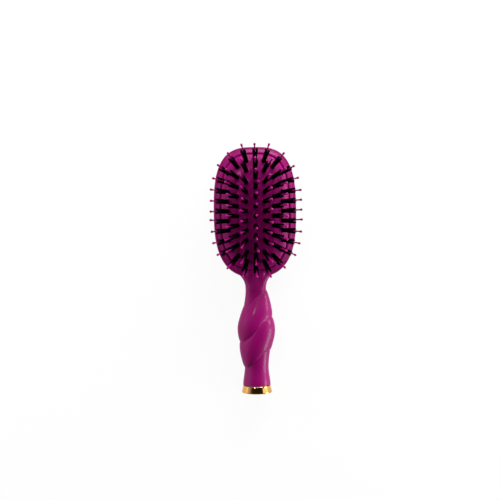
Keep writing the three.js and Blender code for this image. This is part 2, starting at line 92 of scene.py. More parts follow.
# Handle stations: y, half width, half thickness, height of the axis, squareness
STATIONS = np.array([
    [-52.0, 9.5, 5.5, 7.5, 3.2],
    [-71.0, 9.3, 8.0, 9.5, 2.4],
    [-107.0, 14.2, 10.9, 13.75, 2.0],
    [-140.6, 10.8, 10.6, 13.75, 2.0],
    [-156.7, 12.4, 12.4, 13.75, 2.0],
])
FLARE_WIDTH = 12.6
FLARE_POWER = 2.6
BAND_PITCH = 27.3
BAND_START_Y = -71.5
BAND_TILT = 5.5
BAND_TILT_Y = -107.6
BAND_TILT_REACH = 15.5
BAND_TILT_POWER = 4
BAND_STRAIGHTEN = 3.0
BAND_BULGE = 2.8
BAND_ROUNDNESS = 0.5
BAND_START_SOFTNESS = 0.6
BAND_START_SHARE = 0.5
BAND_FULL_TURNS = 1.5
BAND_FADE_TURNS = 0.5
CREASE_FILL = 0.4
CAP_Y = -156.7
CAP_AXIS_HEIGHT = 13.75


# Meshes

RELAX_LEVELS = 10
RELAX_FACTOR = 0.5


def grid_faces(rows, columns, wrap_rows=False):
    """Faces of a grid whose columns close into a ring, and its rows too if asked."""
    faces = []
    for row in range(rows if wrap_rows else rows - 1):
        here = row * columns
        above = (row + 1) % rows * columns
        for column in range(columns):
            side = (column + 1) % columns
            faces.append((here + column, here + side, above + side, above + column))
    return faces


def new_object(name, points, faces):
    mesh = bpy.data.meshes.new(name)
    mesh.from_pydata((np.asarray(points, float) * MM).tolist(), [], faces)
    mesh.update()
    obj = bpy.data.objects.new(name, mesh)
    bpy.context.scene.collection.objects.link(obj)
    return obj


def loft(name, rings):
    """A closed solid through rings of points, with a flat face at each end."""
    count = len(rings[0])
    faces = grid_faces(len(rings), count)
    faces.append(tuple(range(count - 1, -1, -1)))
    faces.append(tuple(range((len(rings) - 1) * count, len(rings) * count)))
    return new_object(name, np.concatenate(rings), faces)


def settle(obj):
    """Applies the modifiers of an object to its mesh."""
    graph = bpy.context.evaluated_depsgraph_get()
    mesh = bpy.data.meshes.new_from_object(obj.evaluated_get(graph))
    obj.modifiers.clear()
    obj.data = mesh


def boolean(obj, other, operation):
    modifier = obj.modifiers.new(operation.lower(), "BOOLEAN")
    modifier.operation = operation
    modifier.object = other
    modifier.solver = "MANIFOLD"
    settle(obj)
    bpy.data.objects.remove(other)


def smooth_where(obj, weights, rounds):
    """Relaxes the mesh where the weights are above 0."""
    group = obj.vertex_groups.new(name="relax")
    levels = np.round(np.clip(weights, 0, 1) * RELAX_LEVELS).astype(int)
    for level in range(1, RELAX_LEVELS + 1):
        members = np.nonzero(levels == level)[0].tolist()
        if members:
            group.add(members, level / RELAX_LEVELS, "REPLACE")
    modifier = obj.modifiers.new("relax", "SMOOTH")
    modifier.factor = RELAX_FACTOR
    modifier.iterations = rounds
    modifier.vertex_group = group.name
    settle(obj)
    obj.vertex_groups.clear()


def points_of(obj):
    points = np.zeros(len(obj.data.vertices) * 3)
    obj.data.vertices.foreach_get("co", points)
    return points.reshape(-1, 3) / MM


def step(low, high, at):
    """A smooth rise from 0 at low to 1 at high."""
    share = np.clip((at - low) / (high - low), 0, 1)
    return share * share * (3 - 2 * share)


def turns(count):
    """Angles of evenly spaced points on a circle."""
    return 2 * np.pi * np.arange(count) / count


# The oval of the head and the dome of the cushion

def squareness(angle):
    return HEEL_SQUARENESS + (TIP_SQUARENESS - HEEL_SQUARENESS) * (1 + np.sin(angle)) / 2


def oval_reach(y, inset):
    return np.where(y > 0, HEAD_TIP_REACH, HEAD_HEEL_REACH) - inset


def oval_share(x, y, inset):
    """Below 1 inside the head outline moved in by inset, and above 1 outside it."""
    power = squareness(np.arctan2(y, x))
    across = np.abs(x) / (HEAD_HALF_WIDTH - inset)
    along = np.abs(y) / oval_reach(y, inset)
    return across ** power + along ** power


def oval_ring(inset, count):
    angle = turns(count)
    x = np.cos(angle) * (HEAD_HALF_WIDTH - inset)
    y = np.sin(angle) * oval_reach(np.sin(angle), inset)
    scale = oval_share(x, y, inset) ** (-1 / squareness(np.arctan2(y, x)))
    return x * scale, y * scale


def oval_ring_at(inset, z, count):
    x, y = oval_ring(inset, count)
    return np.stack([x, y, np.full(count, z)], 1)


def dome_height(x, y):
    return SHOULDER_HEIGHT + CROWN * (1 - oval_share(x, y, PAD_INSET))


# The handle

def handle_at(y):
    """Half width, half thickness, height of the axis and squareness of the plain handle at y."""
    y = np.asarray(y, float)
    values = []
    for key in range(1, STATIONS.shape[1]):
        value = np.full(y.shape, STATIONS[0, key])
        for before, after in zip(STATIONS[:-1], STATIONS[1:]):
            share = 1 - step(after[0], before[0], y)
            between = before[key] + (after[key] - before[key]) * share
            value = np.where(y <= before[0], between, value)
        values.append(value)
    flare = np.maximum(0, (y - STATIONS[1, 0]) / (STATIONS[0, 0] - STATIONS[1, 0]))
    values[0] = values[0] + FLARE_WIDTH * flare ** FLARE_POWER
    return values


def band_fade(along):
    """How far the band stands out, by the turns that it has wound."""
    fade = step(-BAND_FADE_TURNS, 0, along)
    return fade * (1 - step(BAND_FULL_TURNS, BAND_FULL_TURNS + BAND_FADE_TURNS, along))


def band_rise(angle, y):
    """Height of the wound band above the plain handle, with a filled crease between its turns."""
    turn = angle / (2 * np.pi)
    tilt_share = np.exp(-((y - BAND_TILT_Y) / BAND_TILT_REACH) ** BAND_TILT_POWER)
    tilt = BAND_TILT * tilt_share * np.cos(angle)
    crease = BAND_START_Y - BAND_PITCH * turn + tilt + BAND_STRAIGHTEN * np.sin(2 * angle)
    crossed = (crease - y) / BAND_PITCH
    turns_before = np.floor(crossed)
    starts = (turns_before == 0) & (crossed < BAND_START_SHARE)
    softness = np.where(starts, BAND_START_SOFTNESS * np.sin(angle / 2) ** 2, 0)
    bow = np.abs(np.sin(np.pi * crossed)) ** (BAND_ROUNDNESS + softness)
    beside = turn + np.round(crossed)
    filled = CREASE_FILL * np.minimum(band_fade(beside), band_fade(beside - 1))
    return BAND_BULGE * (band_fade(turn + turns_before) * bow + filled * (1 - bow))


def handle_radius(angle, y):
    half_width, half_thickness, _, power = handle_at(y)
    across = np.abs(np.cos(angle)) / half_width
    up = np.abs(np.sin(angle)) / half_thickness
    return (across ** power + up ** power) ** (-1 / power) + band_rise(angle, y)


def handle_points(angle, y):
    axis = handle_at(y)[2]
    radius = handle_radius(angle, y)
    return np.stack([radius * np.cos(angle), y, axis + radius * np.sin(angle)], 1)


# Tufts

def tuft_at(column, row):
    """Root of a tuft on the dome, and the direction that it leans in."""
    even_y = FIELD_END_Y * (1 - 2 * row / LAST_ROW)
    side = abs(column)
    spreads = side > 0 and abs(even_y) > SPREAD_FROM_SHARE * FIELD_END_Y
    spread = END_SPREAD * (SIDE_COLUMNS - side) if spreads else 0
    y = even_y + math.copysign(spread, even_y)
    along_share = y / FIELD_END_Y
    across_share = column / SIDE_COLUMNS
    x = column * COLUMN_PITCH * (1 - COLUMN_DRAW_IN * along_share ** 2)
    corner = CORNER_UPRIGHT * (across_share * along_share) ** 4
    lean_x = math.sin(EDGE_LEAN) * across_share * (1 - corner)
    even_share = EVEN_LEAN_SHARE - EDGE_LEAN_DROP * across_share ** 2
    lean_y = math.sin(END_LEAN) * (even_share * along_share + (1 - even_share) * along_share ** 3)
    lean_y += math.sin(SIDE_LEAN) * abs(across_share) * (1 - across_share ** 2) * along_share ** 3
    up = np.array([lean_x, lean_y, math.sqrt(1 - lean_x ** 2 - lean_y ** 2)])
    root = np.array([x, y, float(dome_height(np.float64(x), np.float64(y)))])
    return root, up


def tuft_row(row):
    room = min(SIDE_COLUMNS, row, LAST_ROW - row)
    widest = room - (row - room) % 2
    return [tuft_at(column, row) for column in range(-widest, widest + 1, 2)]


tuft_rows = [tuft_row(row) for row in range(LAST_ROW + 1)]


X_AXIS = (1.0, 0.0, 0.0)


def directions_across(up, first=X_AXIS):
    """Two directions square to up and to each other, the first of them close to the one given."""
    across = np.array(first) - up * np.dot(first, up)
    across /= np.linalg.norm(across)
    return across, np.cross(up, across)


# Materials

NOISE_LOW = 0.3
NOISE_HIGH = 0.7
NOISE_DETAIL = 3.0
FINE_DETAIL = 4.0
GRAIN_DETAIL = 2.0
GRAIN_STRENGTH = 0.1
COAT_ROUGHNESS = 0.18
TINT_SCALE = 60
TINT_SPREAD = 0.05
SHEEN_SCALE = 220
SHEEN_BELOW = 0.03
SHEEN_ABOVE = 0.04
BODY_COLOR = (0.21, 0.0008, 0.094)
RUBBER_COLOR = (0.225, 0.0009, 0.102)
NYLON_COLOR = (0.27, 0.0015, 0.125)
BRISTLE_COLOR = (0.002, 0.0016, 0.0018)
BRISTLE_DARKER = (0.0004, 0.0003, 0.0003)
BRISTLE_PALER = (0.0018, 0.0014, 0.0016)
GOLD_COLOR = (0.75, 0.4, 0.12)
GOLD_DARKER = (0.72, 0.375, 0.105)
GOLD_PALER = (0.78, 0.425, 0.135)


def node_material(name, color, roughness, metallic=0.0):
    material = bpy.data.materials.new(name)
    material.use_nodes = True
    shader = material.node_tree.nodes["Principled BSDF"]
    shader.inputs["Base Color"].default_value = (*color, 1)
    shader.inputs["Roughness"].default_value = roughness
    shader.inputs["Metallic"].default_value = metallic
    return material, material.node_tree, shader


def noise(tree, scale, detail=NOISE_DETAIL):
    place = tree.nodes.new("ShaderNodeTexCoord")
    texture = tree.nodes.new("ShaderNodeTexNoise")
    texture.inputs["Scale"].default_value = scale
    texture.inputs["Detail"].default_value = detail
    tree.links.new(place.outputs["Object"], texture.inputs["Vector"])
    return texture


def vary_color(tree, shader, texture, low, high):
    ramp = tree.nodes.new("ShaderNodeValToRGB")
    ramp.color_ramp.elements[0].position = NOISE_LOW
    ramp.color_ramp.elements[1].position = NOISE_HIGH
    ramp.color_ramp.elements[0].color = (*low, 1)
    ramp.color_ramp.elements[1].color = (*high, 1)
    tree.links.new(texture.outputs["Fac"], ramp.inputs["Fac"])
    tree.links.new(ramp.outputs["Color"], shader.inputs["Base Color"])


def vary_roughness(tree, shader, texture, low, high):
    spread = tree.nodes.new("ShaderNodeMapRange")
    spread.inputs["From Min"].default_value = NOISE_LOW
    spread.inputs["From Max"].default_value = NOISE_HIGH
    spread.inputs["To Min"].default_value = low
    spread.inputs["To Max"].default_value = high
    tree.links.new(texture.outputs["Fac"], spread.inputs["Value"])
    tree.links.new(spread.outputs["Result"], shader.inputs["Roughness"])


def bump(tree, shader, texture, depth):
    node = tree.nodes.new("ShaderNodeBump")
    node.inputs["Strength"].default_value = GRAIN_STRENGTH
    node.inputs["Distance"].default_value = depth
    tree.links.new(texture.outputs["Fac"], node.inputs["Height"])
    tree.links.new(node.outputs["Normal"], shader.inputs["Normal"])


def moulded(name, color, roughness, level, coat, grain_scale, grain_depth):
    """Moulded plastic or rubber, with faint changes of tint and sheen and a fine grain."""
    material, tree, shader = node_material(name, color, roughness)
    shader.inputs["Specular IOR Level"].default_value = level
    shader.inputs["Coat Weight"].default_value = coat
    shader.inputs["Coat Roughness"].default_value = COAT_ROUGHNESS
    darker = [part * (1 - TINT_SPREAD) for part in color]
    paler = [part * (1 + TINT_SPREAD) for part in color]
    vary_color(tree, shader, noise(tree, TINT_SCALE), darker, paler)
    sheen = noise(tree, SHEEN_SCALE)
    vary_roughness(tree, shader, sheen, roughness - SHEEN_BELOW, roughness + SHEEN_ABOVE)
    bump(tree, shader, noise(tree, grain_scale, GRAIN_DETAIL), grain_depth)
    return material


def make_bristle():
    material, tree, shader = node_material("boar_bristle", BRISTLE_COLOR, roughness=0.5)
    shader.inputs["Specular IOR Level"].default_value = 0.05
    vary_color(tree, shader, noise(tree, scale=900), BRISTLE_DARKER, BRISTLE_PALER)
    vary_roughness(tree, shader, noise(tree, scale=1400), low=0.42, high=0.6)
    return material


def make_gold():
    material, tree, shader = node_material(
        "polished_gold", GOLD_COLOR, roughness=0.08, metallic=1.0)
    vary_color(tree, shader, noise(tree, scale=180), GOLD_DARKER, GOLD_PALER)
    vary_roughness(tree, shader, noise(tree, scale=400, detail=FINE_DETAIL), low=0.06, high=0.11)
    bump(tree, shader, noise(tree, scale=900, detail=FINE_DETAIL), depth=0.00003)
    return material


body_plastic = moulded(
    "body_plastic", BODY_COLOR,
    roughness=0.47, level=0.08, coat=0.15, grain_scale=2600, grain_depth=0.00004)
cushion_rubber = moulded(
    "cushion_rubber", RUBBER_COLOR,
    roughness=0.48, level=0.05, coat=0.06, grain_scale=1900, grain_depth=0.00005)
pin_nylon = moulded(
    "pin_nylon", NYLON_COLOR,
    roughness=0.35, level=0.1, coat=0.2, grain_scale=1500, grain_depth=0.00002)
bristle = make_bristle()
gold = make_gold()


def finish_piece(obj, material, body, slot, *nodes):
    """Gives a piece its material, smooth shading and, unless None, its body, and hides the nodes
    it stands for. The slot is not used.
    """
    obj.data.materials.clear()
    obj.data.materials.append(material)
    obj.data.shade_smooth()
    if body:
        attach(obj, body)
    if nodes:
        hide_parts(*nodes)
    return obj


# Handle, neck and head shell in one moulding

OUTLINE_COUNT = 288
HANDLE_COUNT = 144
HANDLE_RING_STEP = 0.6
BACK_RINGS = 15
# Inset from the head outline and height, from above the widest line to the floor of the chamber
LIP_SECTION = [
    (0.05, 10.6), (0.15, 11.4), (0.34, 11.95), (0.62, 12.32), (0.95, LIP_HEIGHT),
    (1.6, LIP_HEIGHT), (LIP_WALL, 12.4), (LIP_WALL, LEDGE_HEIGHT),
    (CHAMBER_INSET, LEDGE_HEIGHT), (CHAMBER_INSET, BACK_THICKNESS),
]
CUT_TOP = 40.0
VOXEL = 0.36
GRIP_TOP_Y = -76.0
GRIP_END_Y = CAP_Y + 0.6
FACES_KEPT = 0.36

# Smoothing of the fillet between head and neck, and a little of the whole skin above the back
FILLET_INSET = 1.5
FILLET_OUTSIDE = (1.0, 1.03)
FILLET_NECK_Y = (-74, -68)
FILLET_HEAD_Y = (-50, -44)
FILLET_Z = (0.4, 1.5)
FILLET_ROUNDS = 70
SKIN_SHARE = 0.6
SKIN_Z = (0.3, 0.8)
SKIN_ROUNDS = 2


def oval_plug(name, inset, low, high):
    return loft(name, [oval_ring_at(inset, z, OUTLINE_COUNT) for z in (low, high)])


def seat_on_grip(obj):
    """Puts the points of the remeshed grip back on its formula, so that the creases stay sharp."""
    at = points_of(obj)
    grip = (at[:, 1] < GRIP_TOP_Y) & (at[:, 1] > GRIP_END_Y)
    x, y, z = at[grip].T
    angle = np.arctan2(z - handle_at(y)[2], x) % (2 * np.pi)
    at[grip] = handle_points(angle, y)
    obj.data.vertices.foreach_set("co", (at * MM).ravel())
    obj.data.update()


def make_handle():
    rings = []
    for turn in np.radians(np.linspace(0, 90, BACK_RINGS)):
        inset = BACK_ROUND_WIDTH * (1 - math.sin(turn))
        rings.append(oval_ring_at(inset, WIDEST_HEIGHT * (1 - math.cos(turn)), OUTLINE_COUNT))
    for inset, z in LIP_SECTION:
        rings.append(oval_ring_at(inset, z, OUTLINE_COUNT))
    shell = loft("handle_moulding", rings)
    first, last = STATIONS[0, 0], STATIONS[-1, 0]
    ys = np.linspace(first, last, int((first - last) / HANDLE_RING_STEP))
    angle = turns(HANDLE_COUNT)
    grip = loft("grip", [handle_points(angle, np.full(HANDLE_COUNT, y)) for y in ys])
    boolean(grip, oval_plug("seat_cut", LIP_WALL, LEDGE_HEIGHT, CUT_TOP), "DIFFERENCE")
    boolean(grip, oval_plug("chamber_cut", CHAMBER_INSET, BACK_THICKNESS, CUT_TOP), "DIFFERENCE")
    boolean(shell, grip, "UNION")
    remesh = shell.modifiers.new("remesh", "REMESH")
    remesh.mode = "VOXEL"
    remesh.voxel_size = VOXEL * MM
    settle(shell)
    seat_on_grip(shell)
    x, y, z = points_of(shell).T
    outside = step(*FILLET_OUTSIDE, oval_share(x, y, FILLET_INSET))
    near_neck = step(*FILLET_NECK_Y, y) * (1 - step(*FILLET_HEAD_Y, y))
    smooth_where(shell, outside * near_neck * step(*FILLET_Z, z), FILLET_ROUNDS)
    smooth_where(shell, SKIN_SHARE * step(*SKIN_Z, points_of(shell)[:, 2]), SKIN_ROUNDS)
    thin = shell.modifiers.new("thin", "DECIMATE")
    thin.ratio = FACES_KEPT
    settle(shell)
    return finish_piece(shell, body_plastic, "brush", "body_plastic", "handle_body")


handle = make_handle()


# What lies on the moulding finds its height by looking down on it

LOOK_FROM_Z = 60.0


def surface_of(obj):
    mesh = obj.data
    return BVHTree.FromPolygons([v.co for v in mesh.vertices], [p.vertices for p in mesh.polygons])


def look_down(surface, x, y):
    """Where a line straight down at x, y meets a surface, in metres, and the normal there."""
    return surface.ray_cast(Vector((x, y, LOOK_FROM_Z)) * MM, Vector((0, 0, -1)))[:2]


def top_of(surface, x, y):
    return look_down(surface, x, y)[0].z / MM


# The frame round the cushion. At the heel its outer part lies on the neck and runs into it.

CREST_INSET = 5.7
CREST_HEIGHT = 14.42
# Inset from the head outline and height, over the crest from outside to inside
FRAME_SECTION = [
    (FRAME_OUTER_INSET, FRAME_BOTTOM), (FRAME_OUTER_INSET, 12.3), (1.5, 12.42), (1.52, 12.56),
    (1.9, 12.68), (2.7, 12.94), (3.5, 13.42), (4.4, 13.98), (5.2, 14.34),
    (CREST_INSET, CREST_HEIGHT), (6.1, 14.34), (6.34, 14.12), (FRAME_INNER_INSET, 13.8),
    (FRAME_INNER_INSET, 13.0), (FRAME_INNER_INSET, FRAME_BOTTOM),
]
HEEL_HALF_WIDTH = 10.4
HEEL_FULL_SHARE = 0.7
NECK_REACH = 2.0
# Insets at the heel of the section's points from the second on, and rises of the first of them
HEEL_INSETS = [-3.0, -2.0, -1.0, 0.4, 1.8, 3.2, 4.4, 5.2, CREST_INSET]
HEEL_RISES = [-0.5, 0.02, 0.05, 0.05]


def make_frame():
    surface = surface_of(handle)
    rings = [oval_ring_at(inset, z, OUTLINE_COUNT) for inset, z in FRAME_SECTION]
    neck_x, neck_y = oval_ring(-NECK_REACH, OUTLINE_COUNT)
    beyond = step(HEEL_FULL_SHARE, 1.0, np.abs(neck_x) / HEEL_HALF_WIDTH)
    on_neck = (neck_y < 0) * (1 - beyond)
    for at, inset in enumerate(HEEL_INSETS, 1):
        x, y = oval_ring(inset, OUTLINE_COUNT)
        share = (inset + NECK_REACH) / (CREST_INSET + NECK_REACH)
        for side in np.nonzero(on_neck)[0]:
            outer = top_of(surface, neck_x[side], neck_y[side])
            z = outer + (CREST_HEIGHT - outer) * share
            if at <= len(HEEL_RISES):
                lying = top_of(surface, x[side], y[side]) + HEEL_RISES[at - 1]
                z = max(z, lying) if inset > 0 else lying
            moved = np.array([x[side], y[side], z]) - rings[at][side]
            rings[at][side] += on_neck[side] * moved
    points = np.stack(rings, 1).reshape(-1, 3)
    faces = grid_faces(OUTLINE_COUNT, len(FRAME_SECTION), wrap_rows=True)
    frame_piece = new_object("cushion_rim", points, faces)
    frame_piece.data.flip_normals()
    return finish_piece(frame_piece, body_plastic, "brush", "body_plastic", "cushion_frame")


rim = make_frame()


# A plain ring on the neck, seated on the moulding and the frame

RING_Y = -64.4
RING_RADIUS = 6.35
RING_TUBE = 0.42
RING_SINK = 0.2
RING_COUNT = 120
RING_SIDES = 10


def make_neck_ring():
    surfaces = [surface_of(handle), surface_of(rim)]
    points = []
    for turn in turns(RING_COUNT):
        out = np.array([math.cos(turn), math.sin(turn), 0])
        x, y = RING_RADIUS * out[0], RING_Y + RING_RADIUS * out[1]
        hits = [look_down(surface, x, y) for surface in surfaces]
        place, normal = max((hit for hit in hits if hit[0]), key=lambda hit: hit[0].z)
        normal = np.array(normal)
        centre = np.array(place) / MM - normal * RING_SINK
        for angle in turns(RING_SIDES):
            points.append(centre + RING_TUBE * (math.cos(angle) * out + math.sin(angle) * normal))
    ring = new_object("neck_ring", points, grid_faces(RING_COUNT, RING_SIDES, wrap_rows=True))
    ring.data.flip_normals()
    finish_piece(ring, body_plastic, "brush", "body_plastic")


make_neck_ring()


# The cushion: a dome with a raised collar round each tuft, and a skirt that the frame clamps

PAD_RINGS = 150
PAD_COUNT = 420
PAD_RING_POWER = 0.9
PAD_ROUND_FROM = 0.95
PAD_EDGE_ROUND = 1.1
PAD_UNDERSIDE = 1.4
UNDERSIDE_RINGS = 23
UNDERSIDE_SHARE = 0.965
SOCKET_ACROSS = 1.75
SOCKET_ALONG = 2.0
SOCKET_DEPTH = 1.3
SOCKET_FLOOR_SHARE = 0.75
COLLAR_RISE = 0.3
COLLAR_SHARE = 1.2
COLLAR_WIDTH = 0.28
COLLAR_WINDOW = 6.0
# Inset from the head outline and height, down the outside, round the clamped flange and up inside
SKIRT_SECTION = [
    (PAD_EDGE_INSET, PAD_SEAM_HEIGHT - SEAM_GAP), (PAD_EDGE_INSET, 10.75), (6.9, 10.66),
    (2.3, 10.66), (2.15, 10.5), (2.15, 9.5), (2.3, 9.35), (7.2, 9.35), (7.3, 9.5),
    (7.5, PAD_SEAM_HEIGHT - SEAM_GAP),
]


def pad_top(x, y, edge):
    z = dome_height(x, y)
    round_share = np.clip((edge - PAD_ROUND_FROM) / (1 - PAD_ROUND_FROM), 0, 1)
    z = z - PAD_EDGE_ROUND * (1 - np.sqrt(1 - round_share ** 2))
    for root, up in [tuft for row in tuft_rows for tuft in row]:
        near = (np.abs(x - root[0]) < COLLAR_WINDOW) & (np.abs(y - root[1]) < COLLAR_WINDOW)
        offset = np.stack([x[near] - root[0], y[near] - root[1], z[near] - root[2]], 1)
        across, along = directions_across(up)
        reach = np.hypot(offset @ across / SOCKET_ACROSS, offset @ along / SOCKET_ALONG)
        collar = COLLAR_RISE * np.exp(-((reach - COLLAR_SHARE) / COLLAR_WIDTH) ** 2)
        z[near] += collar - SOCKET_DEPTH * (1 - step(SOCKET_FLOOR_SHARE, 1.0, reach))
    return z


def give_way(obj):
    """Bakes the object's placement into its mesh."""
    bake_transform(obj)


def make_cushion():
    shares = np.linspace(0, 1, PAD_RINGS + 1)[1:] ** PAD_RING_POWER
    outer = np.stack(oval_ring(PAD_EDGE_INSET, PAD_COUNT), 1)
    x, y = (shares[:, None, None] * outer).reshape(-1, 2).T
    top = np.column_stack([x, y, pad_top(x, y, np.repeat(shares, PAD_COUNT))])
    edge_heights = (PAD_SEAM_HEIGHT + SEAM_GAP, PAD_SEAM_HEIGHT)
    edge = [np.column_stack([outer, np.full(PAD_COUNT, z)]) for z in edge_heights]
    thickness = PAD_UNDERSIDE + SOCKET_DEPTH
    inner_shares = np.linspace(1, 0, UNDERSIDE_RINGS + 1)[:-1] * UNDERSIDE_SHARE
    inner = (inner_shares[:, None, None] * outer).reshape(-1, 2)
    inner_z = np.maximum(dome_height(inner[:, 0], inner[:, 1]) - thickness, PAD_SEAM_HEIGHT)
    inner_z[:PAD_COUNT] = PAD_SEAM_HEIGHT
    crown_z = SHOULDER_HEIGHT + CROWN
    crown_points = [[0, 0, crown_z], [0, 0, crown_z - thickness]]
    points = np.concatenate([top, *edge, np.column_stack([inner, inner_z]), crown_points])
    crown = len(points) - len(crown_points)
    last = crown - PAD_COUNT
    faces = grid_faces(crown // PAD_COUNT, PAD_COUNT)
    for side in range(PAD_COUNT):
        other = (side + 1) % PAD_COUNT
        faces.append((crown, other, side))
        faces.append((crown + 1, last + side, last + other))
    pad = new_object("cushion_dome", points, faces)
    pad.data.flip_normals()
    finish_piece(pad, cushion_rubber, None, "cushion_rubber", "cushion_pad")
    give_way(pad)


def make_skirt():
    rings = [oval_ring_at(inset, z, OUTLINE_COUNT) for inset, z in SKIRT_SECTION]
    points = np.stack(rings, 1).reshape(-1, 3)
    faces = grid_faces(OUTLINE_COUNT, len(SKIRT_SECTION), wrap_rows=True)
    skirt = new_object("cushion_skirt", points, faces)
    finish_piece(skirt, cushion_rubber, None, "cushion_rubber", "cushion_pad")
    give_way(skirt)


make_cushion()
make_skirt()


# Pins: one object a row, each pin with a head under the cushion and a ball at its tip

PIN_SIDES = 16
# Radius and height above the cushion, from the head to the top of the ball
PIN_PROFILE = [
    (0.0, -2.6), (1.1, -2.6), (1.1, -2.0), (0.64, -1.8), (0.64, 0.0), (0.62, 9.0), (0.62, 18.4),
    (0.68, 18.95), (0.82, 19.6), (1.0, 20.25), (1.1, 20.85), (1.08, 21.25), (0.92, 21.65),
    (0.6, 21.9), (0.25, 21.98), (0.0, 22.0),
]
PIN_WANDER = 0.03
PIN_SEED = 11
pin_random = random.Random(PIN_SEED)


def pin_points(root, up):
    wander = np.array([pin_random.gauss(0, PIN_WANDER), pin_random.gauss(0, PIN_WANDER), 0])
    axis = up + wander
    axis /= np.linalg.norm(axis)
    across, along = directions_across(axis)
    turn = turns(PIN_SIDES)
    circle = np.outer(np.cos(turn), across) + np.outer(np.sin(turn), along)
    rings = [root + axis * height + radius * circle for radius, height in PIN_PROFILE[1:-1]]
    ends = np.array([root + axis * PIN_PROFILE[0][1], root + axis * PIN_PROFILE[-1][1]])
    return np.concatenate([*rings, ends])


def pin_faces(start):
    rings = len(PIN_PROFILE) - 2
    faces = [tuple(start + at for at in face) for face in grid_faces(rings, PIN_SIDES)]
    low = start + rings * PIN_SIDES
    high = low + 1
    last = low - PIN_SIDES
    for side in range(PIN_SIDES):
        other = (side + 1) % PIN_SIDES
        faces.append((low, start + other, start + side))
        faces.append((high, last + side, last + other))
    return faces


for row, tufts in enumerate(tuft_rows, 1):
    points, faces = [], []
    for root, up in tufts:
        faces += pin_faces(sum(len(p) for p in points))
        points.append(pin_points(root, up))
    pins = new_object(f"pins_{row:02d}", np.concatenate(points), faces)
    finish_piece(pins, pin_nylon, "bristle_field", "pin_nylon", f"pin_row_{row:02d}")


# Tufts: black strands in two bunches that part round the pin

STRANDS = 112
STRAND_SIDES = 3
STRAND_RADIUS = 0.24
STRAND_TAPER = 0.5
STRAND_ROOT = -1.6
STRAND_SHARES = (0.0, 0.4, 0.75, 1.0)
BEND_POWER = 1.5
TUFT_HALF_PART = 1.8
TUFT_HALF_BESIDE = 1.45
TUFT_LENGTH = 14.6
TUFT_SHORTER = 0.8
TUFT_LONGER = 0.4
TUFT_FLARE = 1.35
STRAY_PART = 0.12
STRAY_BESIDE = 0.14
NOTCH_DEPTH = 3.4
NOTCH_HALF_WIDTH = 0.55
NOTCH_POWER = 0.7
PRONG_SPREAD = 0.1
PIN_ROOM = 0.8
UPRIGHT_LEAN = 0.06
STRAND_SEED = 23
strand_random = random.Random(STRAND_SEED)


def strand_foot():
    """A place in the oval foot of a tuft, beside the pin."""
    while True:
        angle = strand_random.uniform(0, 2 * math.pi)
        reach = math.sqrt(strand_random.uniform(0, 1))
        part = TUFT_HALF_PART * reach * math.cos(angle)
        beside = TUFT_HALF_BESIDE * reach * math.sin(angle)
        if math.hypot(part, beside) > PIN_ROOM:
            return part, beside


def strand_points(root, up):
    """Strands of one tuft as rings of points: strand by strand, foot to tip."""
    lean = math.hypot(up[0], up[1])
    leans = lean > UPRIGHT_LEAN
    first = (up[1] / lean, -up[0] / lean, 0.0) if leans else X_AXIS
    part, beside = directions_across(up, first)
    made = []
    for _ in range(STRANDS):
        a, b = strand_foot()
        notch = NOTCH_DEPTH * max(0, 1 - abs(a) / NOTCH_HALF_WIDTH) ** NOTCH_POWER
        height = TUFT_LENGTH - notch + strand_random.uniform(-TUFT_SHORTER, TUFT_LONGER)
        spread = math.copysign(PRONG_SPREAD, a)
        tip_a = a * TUFT_FLARE + spread + strand_random.gauss(0, STRAY_PART)
        tip_b = b * TUFT_FLARE + strand_random.gauss(0, STRAY_BESIDE)
        twist = strand_random.uniform(0, 2 * math.pi)
        for share in STRAND_SHARES:
            bend = share ** BEND_POWER
            centre = root + part * (a + (tip_a - a) * bend) + beside * (b + (tip_b - b) * bend)
            centre = centre + up * (STRAND_ROOT + (height - STRAND_ROOT) * share)
            radius = STRAND_RADIUS * (1 - STRAND_TAPER * share ** 2)
            for corner in range(STRAND_SIDES):
                turn = twist + 2 * math.pi * corner / STRAND_SIDES
                made.append(centre + radius * (math.cos(turn) * part + math.sin(turn) * beside))
    return made


STRAND_POINTS = STRAND_SIDES * len(STRAND_SHARES)
STRAND_FACES = grid_faces(len(STRAND_SHARES), STRAND_SIDES)
STRAND_FACES.append(tuple(range(STRAND_SIDES - 1, -1, -1)))
STRAND_FACES.append(tuple(range(STRAND_POINTS - STRAND_SIDES, STRAND_POINTS)))

for name, (first_row, end_row) in GROUP_ROWS.items():
    points = []
    for root, up in [tuft for row in tuft_rows[first_row:end_row] for tuft in row]:
        points += strand_points(root, up)
    starts = range(0, len(points), STRAND_POINTS)
    faces = [tuple(start + at for at in face) for start in starts for face in STRAND_FACES]
    tufts = new_object(f"tufts_{name}", points, faces)
    finish_piece(tufts, bristle, "bristle_field", "boar_bristle", f"bristles_{name}")


# The gold cap

CAP_SIDES = 160
# Radius and distance from the end of the moulding, from the bore round to the end face
CAP_PROFILE = [
    (9.6, 5.3), (9.6, 0.45), (9.75, 0.3), (12.3, 0.3), (12.44, 0.42), (12.7, 1.5), (13.05, 3.0),
    (13.42, 4.5), (13.66, 5.5), (13.74, 5.9), (13.72, 6.15), (13.58, 6.42), (13.3, 6.64),
    (12.85, 6.77), (12.2, 6.8), (8.0, 6.8), (4.0, 6.8),
]


def make_cap():
    turn = turns(CAP_SIDES)
    rings = []
    for radius, height in CAP_PROFILE:
        z = CAP_AXIS_HEIGHT + radius * np.sin(turn)
        y = np.full(CAP_SIDES, CAP_Y - height)
        rings.append(np.stack([radius * np.cos(turn), y, z], 1))
    finish_piece(loft("gold_cap", rings), gold, "brush", "cap_metal", "end_cap")


make_cap()


# A white floor that keeps a faint shadow of the object

